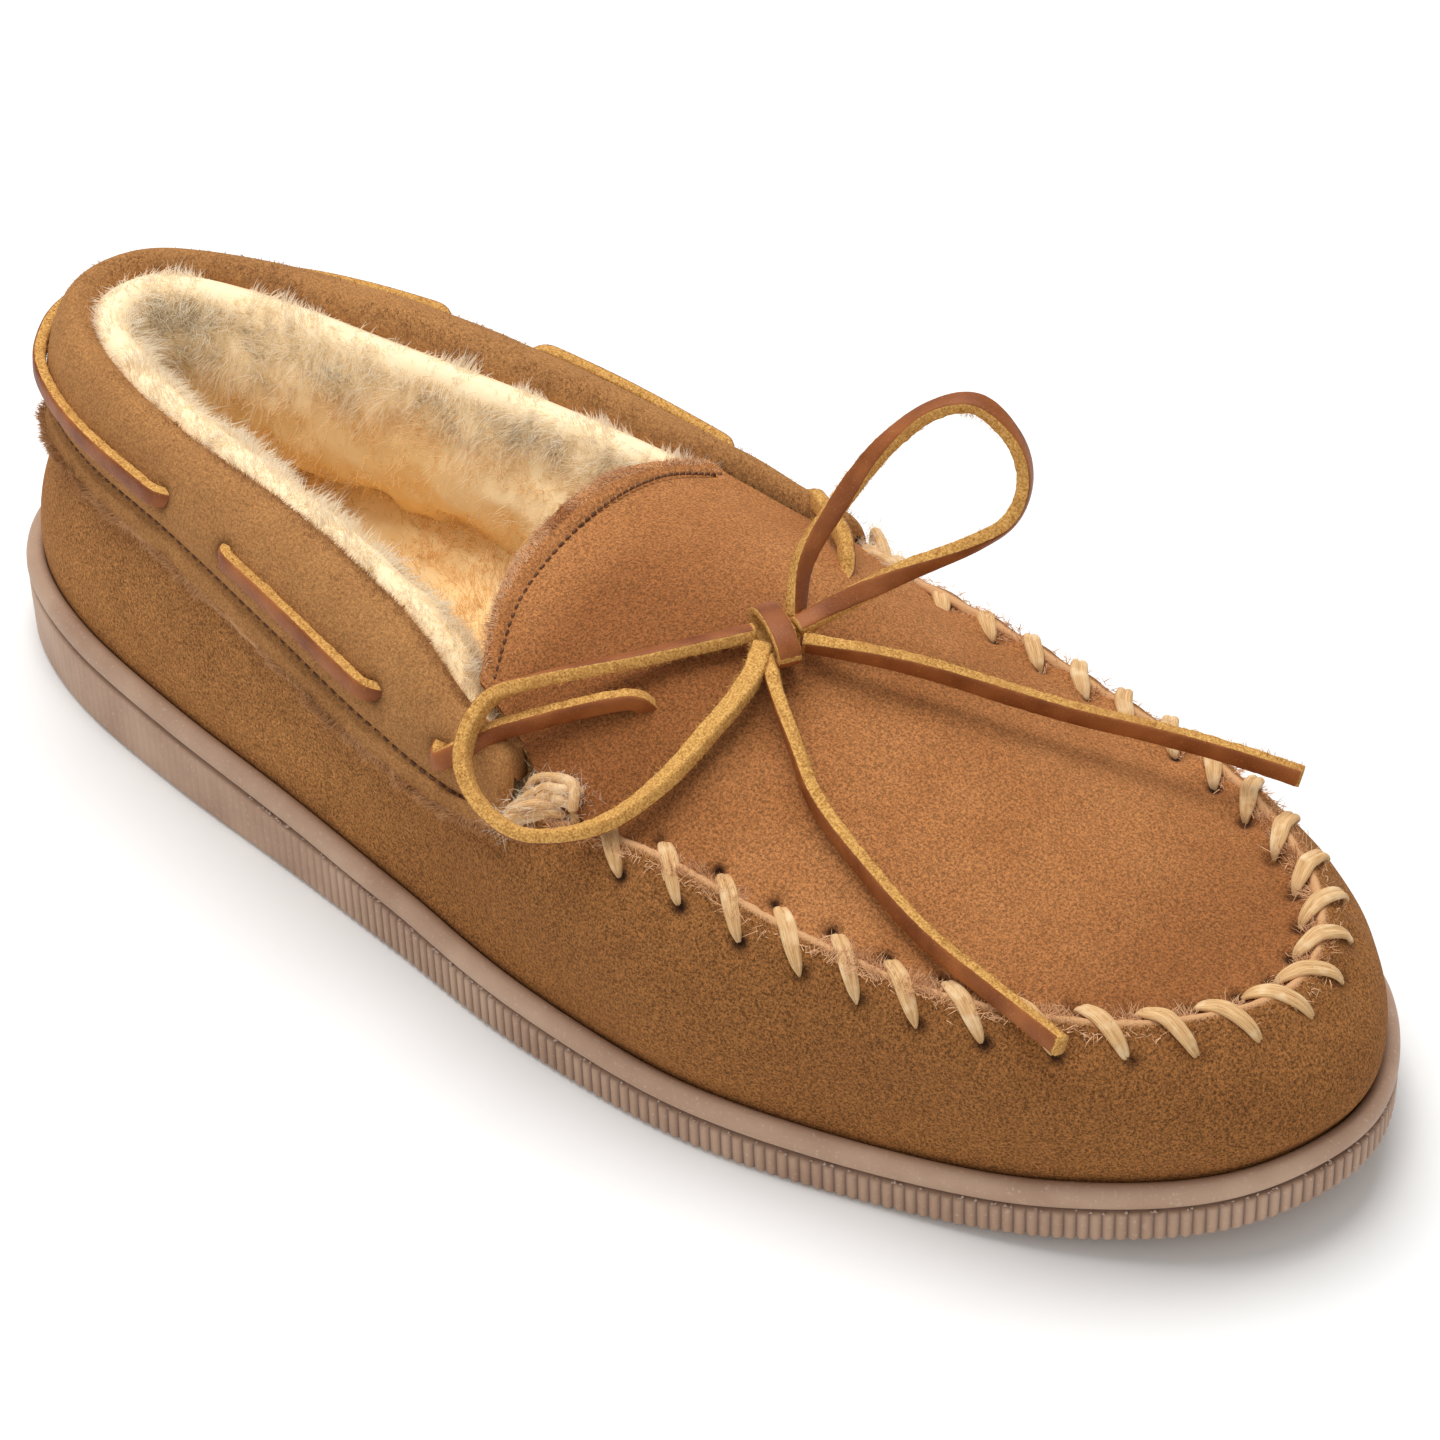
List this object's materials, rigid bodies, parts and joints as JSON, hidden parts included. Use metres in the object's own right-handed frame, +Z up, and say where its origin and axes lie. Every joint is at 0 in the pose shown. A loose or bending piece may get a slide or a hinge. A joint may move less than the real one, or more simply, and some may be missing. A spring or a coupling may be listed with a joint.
{
  "type": "moccasin slipper",
  "caption": "Right moccasin slipper with a whipstitched suede plug, rolled collar, fleece lining, a leather lace tied in a bow and a low rubber outsole.",
  "frame": {"origin": "centre of the outsole's bounding box on the ground", "axes": "+X from heel to toe, +Y to the wearer's left (the inner side of this right shoe), +Z up"},
  "size_m": [0.2841, 0.1047, 0.0996],
  "materials": {
    "sole_rubber": "matte moulded rubber, dusty pink brown",
    "filler_felt": "felt",
    "board": "cellulose board",
    "foam": "open cell foam",
    "fleece": "sheepskin fleece, cream to golden",
    "wrap_suede": "suede with a short nap, golden brown",
    "collar_suede": "suede, light tan",
    "plug_suede": "suede, red tan",
    "waxed_thread": "waxed cream cord",
    "sewing_thread": "dark brown thread",
    "lace_leather": "red brown grain side, golden flesh side"
  },
  "bodies": {
    "shoe": {"outsole": "sole_rubber", "bottom_filler": "filler_felt", "insole_board": "board", "footbed_foam": "foam", "footbed_fleece": "fleece", "moccasin_wrap": "wrap_suede", "heel_counter": "board", "wrap_lining": "fleece", "collar_band": "collar_suede", "collar_padding": "foam", "heel_strap": "wrap_suede", "plug": "plug_suede", "plug_lining": "fleece", "plug_whipstitches": "waxed_thread", "seam_knots": "waxed_thread", "collar_stitching": "sewing_thread", "heel_strap_stitching": "sewing_thread", "collar_lace": "lace_leather", "lace_knot": "lace_leather", "bow_loop_outer": "lace_leather", "bow_loop_inner": "lace_leather", "lace_tail_outer": "lace_leather", "lace_tail_inner": "lace_leather"},
    "tongue": {"tongue_flap": "plug_suede", "tongue_lining": "fleece", "tongue_stitching": "sewing_thread"}
  },
  "joints": [
    {"name": "tongue_lift", "type": "hinge", "parent": "shoe", "child": "tongue", "pos_m": [0.006, 0.001, 0.0649], "axis": [0, 1, 0], "range_deg": [0, 40]}
  ]
}
